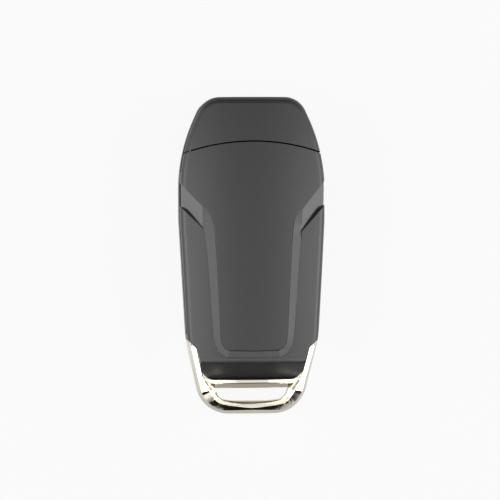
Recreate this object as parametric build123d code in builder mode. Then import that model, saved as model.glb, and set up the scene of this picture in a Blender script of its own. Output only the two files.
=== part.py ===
from build123d import *
from math import asin, ceil, cos, hypot, pi, sin, sqrt
import os

os.makedirs("parts", exist_ok=True)

# Folding key fob shell. Millimetres, +Z towards the rear face, +Y towards the head.
# It lies on its front face (keys down), with the origin under the middle of its plan.

# Plan of the whole fob: half widths and places of the corners, with the radius at each
head_y = 41.0
head_half = 12.25
head_radius = 6.0
shoulder_y = 26.6
case_half = 18.7
shoulder_radius = 45.0
waist_y = 9.5
waist_radius = 60.0
arm_y = -21.8
arm_half = 17.0
arm_radius = 30.0
tail_y = -41.0
tail_half = 12.4
tail_radius = 8.5

# Rear surface: crown across, long arc along, and the chin that drops to the loop
top_z = 16.6
crown_radius = 60.0
crown_peak_y = 8.0
length_radius = 260.0
chin_y = -25.9
chin_radius = 4.0
chin_turn = 43.0
chin_run = 13.0
rear_edge_radius = 2.2
front_edge_radius = 2.4

# Walls and joints of the mouldings
side_wall = 1.5
front_wall = 1.6
rear_wall = 1.5
fit_gap = 0.15
seam_y = 29.65
seam_radius = 55.0
seam_gap = 0.3
lip_reach = 2.4
lip_thickness = 1.0
tail_split_z = 4.6
tail_split_y = -24.0
split_ramp = 2.0

# Rear cover: lowered sides, column, bevel band and chevron facets
side_drop = 0.8
groove_width = 0.2
groove_depth = 0.12
step_share = 0.12
step_fall = 0.3
facet_depth = 1.1
facet_reach = 22.0
facet_side_depth = 0.7
side_notch = 0.3
rim_station = 4.0
facet_edges = {
    # side: inner end x, then y there and rise outwards for the upper and the lower edge
    -1: (13.1, 12.75, 1.09, 7.25, 1.0),
    1: (12.1, 11.4, 1.22, 5.9, 1.09),
}
column_shoulder = {
    # side: plateau edge x, y, then crease x, y and its depth below the panel
    -1: [
        (12.75, 12.6, 13.05, 12.45, 0.05),
        (11.7, 11.65, 13.15, 10.8, 0.4),
        (10.8, 10.4, 13.15, 9.5, 0.65),
        (10.15, 8.6, 13.15, 7.9, 0.95),
        (9.85, 6.3, 12.5, 6.0, 0.8),
    ],
    1: [
        (12.3, 12.15, 12.6, 12.0, 0.05),
        (11.7, 11.65, 12.2, 11.2, 0.2),
        (10.8, 10.4, 12.2, 9.7, 0.5),
        (10.15, 8.6, 12.2, 8.1, 0.8),
        (9.85, 6.3, 12.2, 5.8, 0.95),
        (9.75, 4.6, 12.1, 4.3, 0.8),
    ],
}
column_side = [
    (9.45, 0.0, 11.7, -0.3, 0.8),
    (8.9, -10.8, 10.95, -11.2, 0.8),
    (8.5, -20.6, 10.25, -21.0, 0.8),
    (8.2, -22.3, 9.8, -23.2, 0.8),
    (7.5, -23.5, 8.6, -25.0, 0.8),
    (6.3, -24.15, 6.8, -25.95, 0.8),
    (0.0, -24.3, 0.0, -26.1, 0.8),
]

# Flip mechanism: hub axis, blade level and the space that the blade sweeps
hub_x = -8.5
hub_y = 29.0
hub_radius = 7.6
blade_level = 8.75
blade_thickness = 2.4
blade_width = 8.8
blade_reach = 49.5
neck_reach = 11.0
neck_width = 9.4
neck_thickness = 4.4
hub_thickness = 4.8
swing_gap = 0.35
run_gap = 0.2
tang_width = 5.0
tang_start = 3.4
pin_radius = 0.8
pin_reach = 8.3
tip_length = 3.4
tip_flat = 2.0
track_width = 3.2
track_depth = 0.55
track_margin = 3.0
journal_radius = 2.4
post_radius = 2.0
post_flat = 1.5
washer_thickness = 0.35
bridge_thickness = 1.1
bridge_radius = 4.4
journal_rise = 0.5

# Release button, its trim ring, spring and the ring that carries the hub
button_radius = 5.5
button_face_z = 0.15
button_skirt = 0.9
button_flange = 6.6
button_travel = 1.4
dish_radius = 40.0
dish_depth = 0.3
trim_inner = 5.9
trim_outer = 7.0
trim_depth = 1.0
hub_ring_inner = 7.0
hub_ring_wall = 1.2
spring_radius = 3.4
wire_radius = 0.4
spring_turns = 4.0

# Keys in the front panel
key_width = 18.8
key_height = 8.0
key_corner = 2.4
key_edge_radius = 0.3
key_pitch = 9.6
key_top_y = 11.6
key_names = ["lock_button", "unlock_button", "trunk_button", "panic_button"]
key_gap = 0.2
key_face_z = 0.15
key_flange = 0.7
flange_thickness = 0.6
key_travel = 0.5
panel_depth = 0.5
panel_margin = 1.2
membrane_thickness = 0.6
membrane_margin = 1.3
pill_radius = 1.5
pill_height = 0.6

# Inner frame, electronics bay and seal
bay_left_x = -2.9
bay_wall = 1.2
bay_top_y = 16.5
bay_bottom_y = -22.5
bay_top_z = 9.6
slot_floor = 1.2
seal_thickness = 0.6
seal_width = 0.8
pillar_x = 0.1
pillar_width = 2.0
pillar_length = 10.0

# Screws and their bosses
screw_head_radius = 1.6
screw_head_height = 1.0
screw_radius = 0.8
face_gap = 0.05
socket_radius = 0.7
socket_depth = 0.6
boss_radius = 1.7
frame_screw_y = [13.0, -19.0]
head_screw_x = 6.5
head_screw_y = 22.0
lug_thickness = 1.4

# Key-ring loop
arm_top_x = 14.6
arm_top_y = -23.6
arm_slope = 0.85
arm_foot_x = 12.7
bar_y = -31.8
arm_foot_radius = 3.2
arm_top_radius = 0.8
loop_gap = 0.1
loop_front_z = 2.0
loop_rear_z = [(-18.0, 15.2), (-32.3, 8.9), (-38.8, 8.0), (-46.0, 5.9)]
ring_slot_top_y = -34.3
ring_slot_bottom_y = -37.7
ring_slot_top_half = 9.6
ring_slot_bottom_half = 8.2
ring_slot_radius = 3.0
ring_slot_corner = 0.6
ring_slot_bevel = 1.5
ring_slot_bevel_z = 6.4
loop_crown_radius = 60.0
# Strap of the loop from the tip of an arm to the middle of the tail: share of the way,
# widths of the outer chamfer and of the facet, and fall of the facet's outer edge
strap_rows = [
    (0.0, 0.7, 1.0, 0.1),
    (0.1, 0.7, 1.1, 0.12),
    (0.35, 0.8, 1.1, 0.25),
    (0.49, 0.85, 1.85, 0.55),
    (0.73, 0.8, 1.85, 1.0),
    (1.0, 1.1, 0.6, 0.45),
]
strap_start_y = -19.5
strap_rim_rise = 2.3
strap_reach = 4.4
strap_count = 28
loop_lug_x = 7.5
loop_lug_y = -28.3
loop_lug_half = 2.5
loop_lug_z = 2.9
loop_lug_thickness = 1.5

# Values that follow
axis_z = top_z - crown_radius
chin_lean = asin((crown_peak_y - chin_y) / length_radius)
body_end_y = bar_y - loop_gap
seam_centre_y = seam_y - seam_radius
inner_depth = rear_wall + side_drop
lip_depth = inner_depth + fit_gap
key_rows = [key_top_y - row * key_pitch for row in range(len(key_names))]
key_mid_y = (key_rows[0] + key_rows[-1]) / 2
keys_height = key_rows[0] - key_rows[-1] + key_height
flange_z = front_wall + face_gap
membrane_z = flange_z + flange_thickness + key_travel + face_gap
frame_z = membrane_z + membrane_thickness
blade_low = blade_level - blade_thickness / 2
slot_low = blade_low - swing_gap
slot_high = blade_level + blade_thickness / 2 + swing_gap
neck_low = blade_level - neck_thickness / 2
hub_low = blade_level - hub_thickness / 2
hub_high = blade_level + hub_thickness / 2
hub_ring_top = hub_low - run_gap
hub_ring_outer = hub_ring_inner + hub_ring_wall
washer_z = hub_high + face_gap
bridge_low = washer_z + washer_thickness + face_gap
bridge_high = bridge_low + bridge_thickness
swing_limit_x = hub_x + neck_width / 2 + swing_gap
slot_floor_z = slot_low - swing_gap / 2 - slot_floor
tab_z = blade_level + fit_gap + lug_thickness / 2
tab_half = boss_radius + bay_wall
far = 3 * head_y


def arc_drop(run, radius):
    """How far an arc has fallen at a distance from its highest point."""
    return radius - sqrt(radius**2 - run**2)


def rear_z(x, y):
    """Height of the rear surface over a place in plan, chin included."""
    along_y = max(y, chin_y)
    along = crown_radius - arc_drop(crown_peak_y - along_y, length_radius)
    if y < chin_y:
        run = chin_radius * sin(chin_lean)
        along += arc_drop(run, chin_radius) - arc_drop(run + chin_y - y, chin_radius)
    return axis_z + sqrt(along**2 - x**2)


def fob_plan():
    """Plan of the whole fob, loop included."""
    with BuildSketch() as plan:
        with BuildLine():
            FilletPolyline(
                (0, head_y),
                (head_half, head_y),
                (case_half, shoulder_y),
                (case_half, waist_y),
                (arm_half, arm_y),
                (tail_half, tail_y),
                (0, tail_y),
                radius=[head_radius, shoulder_radius, waist_radius, arm_radius, tail_radius],
            )
            mirror(about=Plane.YZ)
        make_face()
    return plan.sketch


def loop_zone(gap=0.0):
    """Plan of the tail end that belongs to the loop, cut back by a gap."""
    with BuildSketch() as zone:
        with BuildLine():
            edge = FilletPolyline(
                (case_half, arm_top_y + arm_slope * (case_half - arm_top_x)),
                (arm_top_x, arm_top_y),
                (arm_foot_x, bar_y),
                (0, bar_y),
                radius=[arm_top_radius, arm_foot_radius],
            )
            far_x = case_half + chin_radius
            Polyline(
                edge @ 0,
                (far_x, (edge @ 0).Y),
                (far_x, tail_y - chin_radius),
                (0, tail_y - chin_radius),
            )
            mirror(about=Plane.YZ)
        make_face()
        if gap:
            offset(amount=-gap)
    return zone.sketch


def case_plan(inset=0.0):
    """Plan of the plastic body, between the arms of the loop."""
    whole = fob_plan()
    tail = loop_zone()
    with BuildSketch() as plan:
        add(whole)
        add(tail, mode=Mode.SUBTRACT)
        if inset:
            offset(amount=-inset)
    return plan.sketch


def crown(depth=0.0):
    """Everything below the rear surface, or below a layer at a depth under it."""
    drop_plane = Plane(origin=(0, 0, axis_z), x_dir=(0, 1, 0), z_dir=(-1, 0, 0))
    arc_radius = length_radius - depth
    peak = crown_radius - depth
    start_y = head_y + side_wall
    end_y = crown_peak_y - arc_radius * sin(chin_lean)
    with BuildPart() as solid:
        with BuildSketch(drop_plane):
            with BuildLine():
                top = ThreePointArc(
                    (start_y, peak - arc_drop(start_y - crown_peak_y, arc_radius)),
                    (crown_peak_y, peak),
                    (end_y, peak - arc_drop(crown_peak_y - end_y, arc_radius)),
                )
                chin = JernArc(top @ 1, top % 1, chin_radius - depth, chin_turn)
                slope = Line(chin @ 1, chin @ 1 + (chin % 1) * chin_run)
                Polyline(slope @ 1, ((slope @ 1).X, 0), (start_y, 0), top @ 0)
            make_face()
        revolve(axis=Axis((0, 0, axis_z), (0, 1, 0)))
    return solid.part


def body(depth=0.0):
    """The plastic body in one lump, with its rear surface lowered by a depth."""
    whole = fob_plan()
    rear = crown(depth)
    with BuildPart() as lump:
        with BuildSketch():
            add(whole)
            with Locations((0, body_end_y)):
                Rectangle(4 * case_half, 4 * head_y, align=(Align.CENTER, Align.MIN), mode=Mode.INTERSECT)
        extrude(amount=far)
        add(rear, mode=Mode.INTERSECT)
        walls = lump.faces().filter_by(lambda f: abs(f.normal_at().Z) < 0.01)
        rim = walls.edges().filter_by(Axis.Z, reverse=True)
        rim = rim.filter_by(lambda e: e.center().Y > body_end_y + 0.1)
        fillet(rim.filter_by(lambda e: e.center().Z > front_edge_radius), rear_edge_radius)
        bottom = lump.faces().sort_by(Axis.Z)[0].edges()
        fillet(bottom.filter_by(lambda e: e.center().Y > body_end_y + 0.1), front_edge_radius)
    return lump.part


def rim_stations(side):
    """Rows of the column's rim for one side, with more rows where they lie far apart."""
    rows = column_shoulder[side] + column_side
    dense = [rows[0]]
    for start, end in zip(rows, rows[1:]):
        steps = ceil(hypot(end[0] - start[0], end[1] - start[1]) / rim_station)
        for step in range(1, steps + 1):
            dense.append(tuple(a + (b - a) * step / steps for a, b in zip(start, end)))
    return dense


def prism(plan, low, high):
    """A plan drawn up from one height to another."""
    with BuildPart() as block:
        with BuildSketch(Plane.XY.offset(low)):
            add(plan)
        extrude(amount=high - low)
    return block.part


def upper_half(gap=0.0):
    """The space above the parting line of the casings, lifted by a gap."""
    with BuildPart() as half:
        with BuildSketch(Plane.YZ):
            with BuildLine():
                Polyline(
                    (-far, tail_split_z + gap),
                    (tail_split_y, tail_split_z + gap),
                    (tail_split_y + split_ramp, blade_level + gap),
                    (far, blade_level + gap),
                    (far, far),
                    (-far, far),
                    close=True,
                )
            make_face()
        extrude(amount=far, both=True)
    return half.part


def seam_disc(radius):
    """Plan on the tail side of the arched seam."""
    with BuildSketch() as disc:
        with Locations((0, seam_centre_y)):
            Circle(radius)
    return disc.sketch


def swing_fan(reach):
    """Plan that a bar of this reach sweeps as it turns out through the left side."""
    with BuildSketch() as fan:
        with Locations((hub_x, hub_y)):
            Circle(reach)
        with Locations((swing_limit_x, hub_y)):
            Rectangle(far, far, align=(Align.MAX, Align.CENTER), mode=Mode.INTERSECT)
    return fan.sketch


def bridge_plan(gap=0.0):
    """Plan of the bridge that runs from the pillar over the hub."""
    with BuildSketch() as plan:
        with Locations((hub_x, hub_y)):
            Circle(bridge_radius + gap)
            Rectangle(
                pillar_x + pillar_width - hub_x + gap,
                2 * (bridge_radius + gap),
                align=(Align.MIN, Align.CENTER),
            )
    return plan.sketch


def bay_plan(inset=0.0):
    """Plan of the electronics bay, walls included, or set in from them."""
    inner = case_plan(side_wall + fit_gap)
    with BuildSketch() as plan:
        add(inner)
        with Locations((bay_left_x, bay_bottom_y)):
            Rectangle(far, bay_top_y - bay_bottom_y, align=(Align.MIN, Align.MIN), mode=Mode.INTERSECT)
        corners = plan.vertices().filter_by(lambda v: v.X < 0 or v.Y > bay_top_y - face_gap)
        fillet(corners, bay_wall)
        if inset:
            offset(amount=-inset)
    return plan.sketch


def slot_floor_plan(inset=0.0):
    """Plan of the frame under the folded blade, left of the bay."""
    inner = case_plan(side_wall + fit_gap)
    with BuildSketch() as plan:
        add(inner)
        with Locations((bay_left_x + bay_wall / 2, bay_bottom_y)):
            Rectangle(far, bay_top_y - bay_bottom_y, align=(Align.MAX, Align.MIN), mode=Mode.INTERSECT)
        if inset:
            offset(amount=-inset)
    return plan.sketch


def screws(places, seat_z, length):
    """Small socket screws, heads up, as one group."""
    with BuildPart() as group:
        with BuildSketch(Plane.XY.offset(seat_z)):
            with Locations(places):
                Circle(screw_head_radius)
        extrude(amount=screw_head_height)
        with BuildSketch(Plane.XY.offset(seat_z)):
            with Locations(places):
                Circle(screw_radius)
        extrude(amount=-length)
        with BuildSketch(Plane.XY.offset(seat_z + screw_head_height)):
            with Locations(places):
                RegularPolygon(socket_radius, 6)
        extrude(amount=-socket_depth, mode=Mode.SUBTRACT)
    return group.part


def save(piece, name):
    """Label a finished piece and write it out."""
    piece.label = name
    export_step(piece, f"parts/{name}.step")


# Blanks and plans that several mouldings share
body_lump = body()
lowered_lump = body(side_drop)
tail_cut = prism(loop_zone(), -top_z, far)
casing_top = upper_half()
cover_space = upper_half(fit_gap)
cavity_plan = case_plan(side_wall)
frame_plan = case_plan(side_wall + fit_gap)
mid_wall_plan = case_plan(side_wall / 2)
head_side = seam_disc(seam_radius)
web_disc = seam_disc(seam_radius + bay_wall)
lip_disc = seam_disc(seam_radius - lip_reach)
prism_head = prism(head_side, 0, far)
cover_disc = prism(seam_disc(seam_radius - seam_gap), 0, far)
blade_fan = swing_fan(blade_reach + swing_gap)
neck_fan = swing_fan(hypot(neck_reach, neck_width / 2) + swing_gap)
bridge_shape = bridge_plan()
bridge_relief = bridge_plan(fit_gap)
under_web = crown(lip_depth + lip_thickness)
under_head = crown(rear_wall)
under_skin = crown(rear_wall / 2)
under_sides = crown(inner_depth - fit_gap)
under_cover = crown(inner_depth)
under_lip = crown(lip_depth)

with BuildPart() as swing_space:
    with BuildSketch(Plane.XY.offset(slot_low)):
        add(blade_fan)
    extrude(amount=slot_high - slot_low)
    with BuildSketch(Plane.XY.offset(neck_low - swing_gap)):
        add(neck_fan)
    extrude(amount=bridge_low - neck_low + swing_gap)
    with BuildSketch(Plane.XY.offset(hub_ring_top)):
        with Locations((hub_x, hub_y)):
            Circle(hub_radius + run_gap)
    extrude(amount=bridge_low - hub_ring_top)

with BuildPart() as bridge_space:
    with BuildSketch(Plane.XY.offset(hub_low)):
        add(bridge_relief)
    extrude(amount=bridge_high + fit_gap - hub_low)

# Front shell: key openings, button hole, hub ring, bosses and the lower side of the slot
key_places = [(0, row) for row in key_rows]
frame_screw_x = key_width / 2 + membrane_margin + fit_gap + boss_radius
frame_screw_places = [(frame_screw_x, y) for y in frame_screw_y]
loop_screw_places = [(-loop_lug_x, loop_lug_y), (loop_lug_x, loop_lug_y)]
head_screw_places = [(head_screw_x, head_screw_y)]

with BuildPart() as front_case:
    add(body_lump)
    add(tail_cut, mode=Mode.SUBTRACT)
    add(casing_top, mode=Mode.SUBTRACT)
    with BuildSketch(Plane.XY.offset(front_wall)):
        add(cavity_plan)
    extrude(amount=far, mode=Mode.SUBTRACT)
    for places, height in (
        (frame_screw_places, frame_z),
        (loop_screw_places, loop_lug_z),
        (head_screw_places, tab_z),
    ):
        with BuildSketch(Plane.XY.offset(front_wall)):
            with Locations(places):
                Circle(boss_radius)
        extrude(amount=height - front_wall)
        with BuildSketch(Plane.XY.offset(height)):
            with Locations(places):
                Circle(screw_radius + face_gap)
        extrude(amount=-(height - front_wall / 2), mode=Mode.SUBTRACT)
    with BuildSketch(Plane.XY.offset(front_wall)):
        with Locations((hub_x, hub_y)):
            Circle(hub_ring_outer)
            Circle(hub_ring_inner, mode=Mode.SUBTRACT)
        add(mid_wall_plan, mode=Mode.INTERSECT)
    extrude(amount=hub_ring_top - front_wall)
    with BuildSketch():
        with Locations((0, key_mid_y)):
            RectangleRounded(key_width + 2 * panel_margin, keys_height + 2 * panel_margin, key_corner)
    extrude(amount=panel_depth, mode=Mode.SUBTRACT)
    with BuildSketch():
        with Locations(key_places):
            RectangleRounded(key_width + 2 * key_gap, key_height + 2 * key_gap, key_corner + key_gap)
        with Locations((hub_x, hub_y)):
            Circle(button_radius + key_gap)
    extrude(amount=front_wall, mode=Mode.SUBTRACT)
    with BuildSketch():
        with Locations((hub_x, hub_y)):
            Circle(trim_outer + face_gap)
    extrude(amount=trim_depth, mode=Mode.SUBTRACT)
    with BuildSketch(Plane.XY.offset(loop_lug_z - fit_gap)):
        with Locations(loop_screw_places):
            Rectangle(
                2 * (loop_lug_half + fit_gap),
                loop_lug_y - bar_y + side_wall,
                align=(Align.CENTER, Align.MAX),
            )
    extrude(amount=far, mode=Mode.SUBTRACT)
    add(swing_space.part, mode=Mode.SUBTRACT)
save(front_case.part, "front_case")

# Head cap above the arched seam, with the lip that runs under the rear cover and a screw tab
with BuildPart() as head_lip:
    with BuildSketch(Plane.XY.offset(blade_level)):
        add(frame_plan)
        add(web_disc, mode=Mode.INTERSECT)
        add(lip_disc, mode=Mode.SUBTRACT)
        with Locations((0, seam_centre_y)):
            Rectangle(far, far, align=(Align.CENTER, Align.MIN), mode=Mode.INTERSECT)
    extrude(amount=top_z)
    add(under_lip, mode=Mode.INTERSECT)
    add(under_web, mode=Mode.SUBTRACT)

with BuildPart() as head_web:
    with BuildSketch(Plane.XY.offset(blade_level)):
        add(mid_wall_plan)
        add(web_disc, mode=Mode.INTERSECT)
        add(head_side, mode=Mode.SUBTRACT)
        with Locations((0, seam_centre_y)):
            Rectangle(far, far, align=(Align.CENTER, Align.MIN), mode=Mode.INTERSECT)
    extrude(amount=top_z)
    add(under_skin, mode=Mode.INTERSECT)
    add(under_web, mode=Mode.SUBTRACT)

with BuildPart() as head_tab:
    with BuildSketch(Plane.XY.offset(tab_z)):
        with Locations((head_screw_x, head_screw_y - tab_half)):
            Rectangle(
                2 * tab_half,
                seam_y + bay_wall - head_screw_y + tab_half,
                align=(Align.CENTER, Align.MIN),
            )
    extrude(amount=lug_thickness)
    with BuildSketch(Plane.XY.offset(tab_z)):
        with Locations((head_screw_x, seam_y + bay_wall)):
            Rectangle(2 * tab_half, bay_wall, align=(Align.CENTER, Align.MAX))
    extrude(amount=top_z)
    add(under_skin, mode=Mode.INTERSECT)
    with Locations((head_screw_x, head_screw_y, tab_z)):
        Hole(screw_radius + face_gap, depth=lug_thickness * 2)

with BuildPart() as head_cavity:
    with BuildSketch():
        add(cavity_plan)
    extrude(amount=far)
    add(under_head, mode=Mode.INTERSECT)

with BuildPart() as head_cover:
    add(body_lump)
    add(prism_head, mode=Mode.SUBTRACT)
    add(casing_top, mode=Mode.INTERSECT)
    add(head_cavity.part, mode=Mode.SUBTRACT)
    add(head_web.part)
    add(head_lip.part)
    add(head_tab.part)
    add(swing_space.part, mode=Mode.SUBTRACT)
    add(bridge_space.part, mode=Mode.SUBTRACT)
save(head_cover.part, "head_cover")

# Rear cover: the column and head-side panel stand full height, the sides lie lower
facet_corners = {
    side: [
        (side * inner_x, top_y),
        (side * facet_reach, top_y + top_rise * (facet_reach - inner_x)),
        (side * facet_reach, low_y + low_rise * (facet_reach - inner_x)),
        (side * inner_x, low_y),
    ]
    for side, (inner_x, top_y, top_rise, low_y, low_rise) in facet_edges.items()
}
left_creases, right_creases = [
    [(side * row[2], row[3]) for row in rows[-1:] + column_side] for side, rows in column_shoulder.items()
]

with BuildSketch() as raised_plan:
    with BuildLine():
        Polyline(
            (-far, far),
            (far, far),
            (far, facet_corners[1][2][1]),
            *facet_corners[1][2:],
            *right_creases,
            *left_creases[-2::-1],
            *facet_corners[-1][:1:-1],
            (-far, facet_corners[-1][2][1]),
            close=True,
        )
    make_face()

with BuildPart() as bevels:
    for side in column_shoulder:
        with BuildPart(mode=Mode.PRIVATE) as bevel:
            for plateau_x, plateau_y, crease_x, crease_y, depth in rim_stations(side):
                across = Vector(side * (crease_x - plateau_x), crease_y - plateau_y)
                start = Vector(side * plateau_x, plateau_y, rear_z(plateau_x, plateau_y))
                fall = start.Z - rear_z(crease_x, crease_y) + depth
                width = across.length
                with BuildSketch(Plane(origin=start, x_dir=across, z_dir=across.cross(Vector(0, 0, 1)))):
                    with BuildLine():
                        Polyline(
                            (0, 0),
                            (width * step_share, -fall * step_fall),
                            (width, -fall),
                            (width + groove_width, -fall - groove_depth),
                            (width + groove_width, side_drop),
                            (0, side_drop),
                            close=True,
                        )
                    make_face()
            loft(ruled=True)
        add(bevel.part)

with BuildPart() as facets:
    for side, (inner_x, top_y, top_rise, low_y, _) in facet_edges.items():
        edge_y = top_y + top_rise * (case_half - inner_x)
        upper = Vector(side * inner_x, top_y, rear_z(inner_x, top_y))
        outer = Vector(side * case_half, edge_y, rear_z(case_half, edge_y) - facet_side_depth)
        lower = Vector(side * inner_x, low_y, rear_z(inner_x, low_y) - facet_depth)
        normal = (lower - upper).cross(outer - upper) * side
        with BuildPart(mode=Mode.PRIVATE) as facet:
            with BuildSketch(Plane.XY.offset(blade_level)):
                with BuildLine():
                    Polyline(*facet_corners[side], close=True)
                make_face()
            extrude(amount=top_z)
            split(bisect_by=Plane(origin=upper, x_dir=outer - upper, z_dir=normal))
        add(facet.part)

notch_plan = case_plan(side_notch)
with BuildPart() as side_notches:
    with BuildSketch(Plane.XY.offset(blade_level)):
        for corners in facet_corners.values():
            with BuildLine():
                Polyline(*corners, close=True)
            make_face()
        add(notch_plan, mode=Mode.SUBTRACT)
    extrude(amount=top_z)

with BuildPart() as rear_cavity:
    with BuildSketch():
        add(cavity_plan)
    extrude(amount=far)
    add(under_cover, mode=Mode.INTERSECT)

seal_inset = (bay_wall - seal_width) / 2
bay_outer = bay_plan()
bay_inner = bay_plan(bay_wall)
seal_outer = bay_plan(seal_inset)
seal_inner = bay_plan(seal_inset + seal_width)
floor_outer = slot_floor_plan()
floor_inner = slot_floor_plan(bay_wall)
raised_block = prism(raised_plan.sketch, 0, far)
with BuildPart() as seal_rib:
    with BuildSketch(Plane.XY.offset(bay_top_z + seal_thickness + face_gap)):
        add(seal_outer)
        add(seal_inner, mode=Mode.SUBTRACT)
    extrude(amount=top_z)
    add(under_sides, mode=Mode.INTERSECT)

with BuildPart() as rear_cover:
    add(body_lump)
    add(raised_block, mode=Mode.INTERSECT)
    add(lowered_lump)
    add(bevels.part, mode=Mode.SUBTRACT)
    add(facets.part, mode=Mode.SUBTRACT)
    add(side_notches.part, mode=Mode.SUBTRACT)
    add(tail_cut, mode=Mode.SUBTRACT)
    add(cover_disc, mode=Mode.INTERSECT)
    add(cover_space, mode=Mode.INTERSECT)
    add(rear_cavity.part, mode=Mode.SUBTRACT)
    add(seal_rib.part)
    add(swing_space.part, mode=Mode.SUBTRACT)
    add(bridge_space.part, mode=Mode.SUBTRACT)
save(rear_cover.part, "rear_cover")

# Inner frame: bay wall, floor under the folded blade, pillar and bridge over the hub
with BuildPart() as mid_frame:
    with BuildSketch(Plane.XY.offset(frame_z)):
        add(bay_outer)
        add(bay_inner, mode=Mode.SUBTRACT)
    extrude(amount=bay_top_z - frame_z)
    with BuildSketch(Plane.XY.offset(slot_floor_z)):
        add(floor_outer)
    extrude(amount=slot_floor)
    with BuildSketch(Plane.XY.offset(frame_z)):
        add(floor_outer)
        add(floor_inner, mode=Mode.SUBTRACT)
    extrude(amount=slot_floor_z - frame_z)
    with BuildSketch(Plane.XY.offset(frame_z)):
        with Locations(frame_screw_places):
            Circle(boss_radius)
            Rectangle(far, 2 * boss_radius, align=(Align.MIN, Align.CENTER))
        add(bay_outer, mode=Mode.INTERSECT)
    extrude(amount=lug_thickness)
    with BuildSketch(Plane.XY.offset(frame_z)):
        with Locations((pillar_x, bay_top_y - bay_wall)):
            Rectangle(
                2 * pillar_width,
                hub_y + pillar_length / 2 - bay_top_y + bay_wall,
                align=(Align.MIN, Align.MIN),
            )
    extrude(amount=lug_thickness)
    with BuildSketch(Plane.XY.offset(frame_z)):
        with Locations((pillar_x, hub_y)):
            Rectangle(pillar_width, pillar_length, align=(Align.MIN, Align.CENTER))
    extrude(amount=bridge_high - frame_z)
    with BuildSketch(Plane.XY.offset(bridge_low)):
        add(bridge_shape)
    extrude(amount=bridge_thickness)
    with BuildSketch(Plane.XY.offset(bridge_low)):
        with Locations((hub_x, hub_y)):
            Circle(journal_radius + face_gap * 2)
    extrude(amount=bridge_thickness, mode=Mode.SUBTRACT)
    with BuildSketch(Plane.XY.offset(frame_z)):
        with Locations(frame_screw_places):
            Circle(screw_radius + face_gap)
    extrude(amount=lug_thickness, mode=Mode.SUBTRACT)
    with BuildSketch(Plane.XY.offset(frame_z + lug_thickness)):
        with Locations(frame_screw_places):
            Circle(screw_head_radius + fit_gap)
    extrude(amount=screw_head_height + fit_gap, mode=Mode.SUBTRACT)
save(mid_frame.part, "mid_frame")

# Rubber seal on the bay wall and rubber mat behind the keys
with BuildPart() as bay_seal:
    with BuildSketch(Plane.XY.offset(bay_top_z)):
        add(seal_outer)
        add(seal_inner, mode=Mode.SUBTRACT)
    extrude(amount=seal_thickness)
save(bay_seal.part, "bay_seal")

with BuildPart() as keypad_membrane:
    with BuildSketch(Plane.XY.offset(membrane_z)):
        with Locations((0, key_mid_y)):
            RectangleRounded(
                key_width + 2 * membrane_margin,
                keys_height + 2 * membrane_margin,
                key_corner,
            )
    extrude(amount=membrane_thickness)
    with BuildSketch(Plane.XY.offset(frame_z)):
        with Locations(key_places):
            Circle(pill_radius)
    extrude(amount=pill_height)
save(keypad_membrane.part, "keypad_membrane")

# Keys: a cap in the panel opening and a flange behind the wall
for name, (key_x, key_y) in zip(key_names, key_places):
    with BuildPart() as key:
        with BuildSketch(Plane.XY.offset(key_face_z)):
            with Locations((key_x, key_y)):
                RectangleRounded(key_width, key_height, key_corner)
        extrude(amount=flange_z + flange_thickness - key_face_z)
        fillet(key.faces().sort_by(Axis.Z)[0].edges(), key_edge_radius)
        with BuildSketch(Plane.XY.offset(flange_z)):
            with Locations((key_x, key_y)):
                RectangleRounded(key_width + 2 * key_flange, key_height + 2 * key_flange, key_corner)
        extrude(amount=flange_thickness)
    save(key.part, name)

# Blade carrier: hub, neck with the blade socket, journal on top and the splined bore below
with BuildPart() as blade_carrier:
    with BuildSketch(Plane.XY.offset(hub_low)):
        with Locations((hub_x, hub_y)):
            Circle(hub_radius)
    extrude(amount=hub_thickness)
    with BuildSketch(Plane.XY.offset(neck_low)):
        with Locations((hub_x, hub_y)):
            Rectangle(neck_width, neck_reach, align=(Align.CENTER, Align.MAX))
    extrude(amount=neck_thickness)
    with BuildSketch(Plane.XY.offset(hub_high)):
        with Locations((hub_x, hub_y)):
            Circle(journal_radius)
    extrude(amount=bridge_low + journal_rise - hub_high)
    with BuildSketch(Plane.XY.offset(blade_low - face_gap)):
        with Locations((hub_x, hub_y - tang_start)):
            Rectangle(
                tang_width + 2 * face_gap,
                neck_reach,
                align=(Align.CENTER, Align.MAX),
            )
    extrude(amount=blade_thickness + 2 * face_gap, mode=Mode.SUBTRACT)
    with BuildSketch(Plane.XY.offset(hub_low)):
        with Locations((hub_x, hub_y)):
            Circle(post_radius + face_gap * 2)
            Rectangle(far, 2 * (post_flat + face_gap * 2), mode=Mode.INTERSECT)
    extrude(amount=hub_thickness - lug_thickness / 2, mode=Mode.SUBTRACT)
    with BuildSketch(Plane.XY.offset(hub_low)):
        with Locations((hub_x, hub_y)):
            Circle(spring_radius + 2 * wire_radius)
            Circle(spring_radius - 2 * wire_radius, mode=Mode.SUBTRACT)
    extrude(amount=wire_radius, mode=Mode.SUBTRACT)
    with Locations((hub_x, hub_y - pin_reach, neck_low + neck_thickness)):
        Hole(pin_radius, depth=neck_thickness)
save(blade_carrier.part, "blade_carrier")

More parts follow.
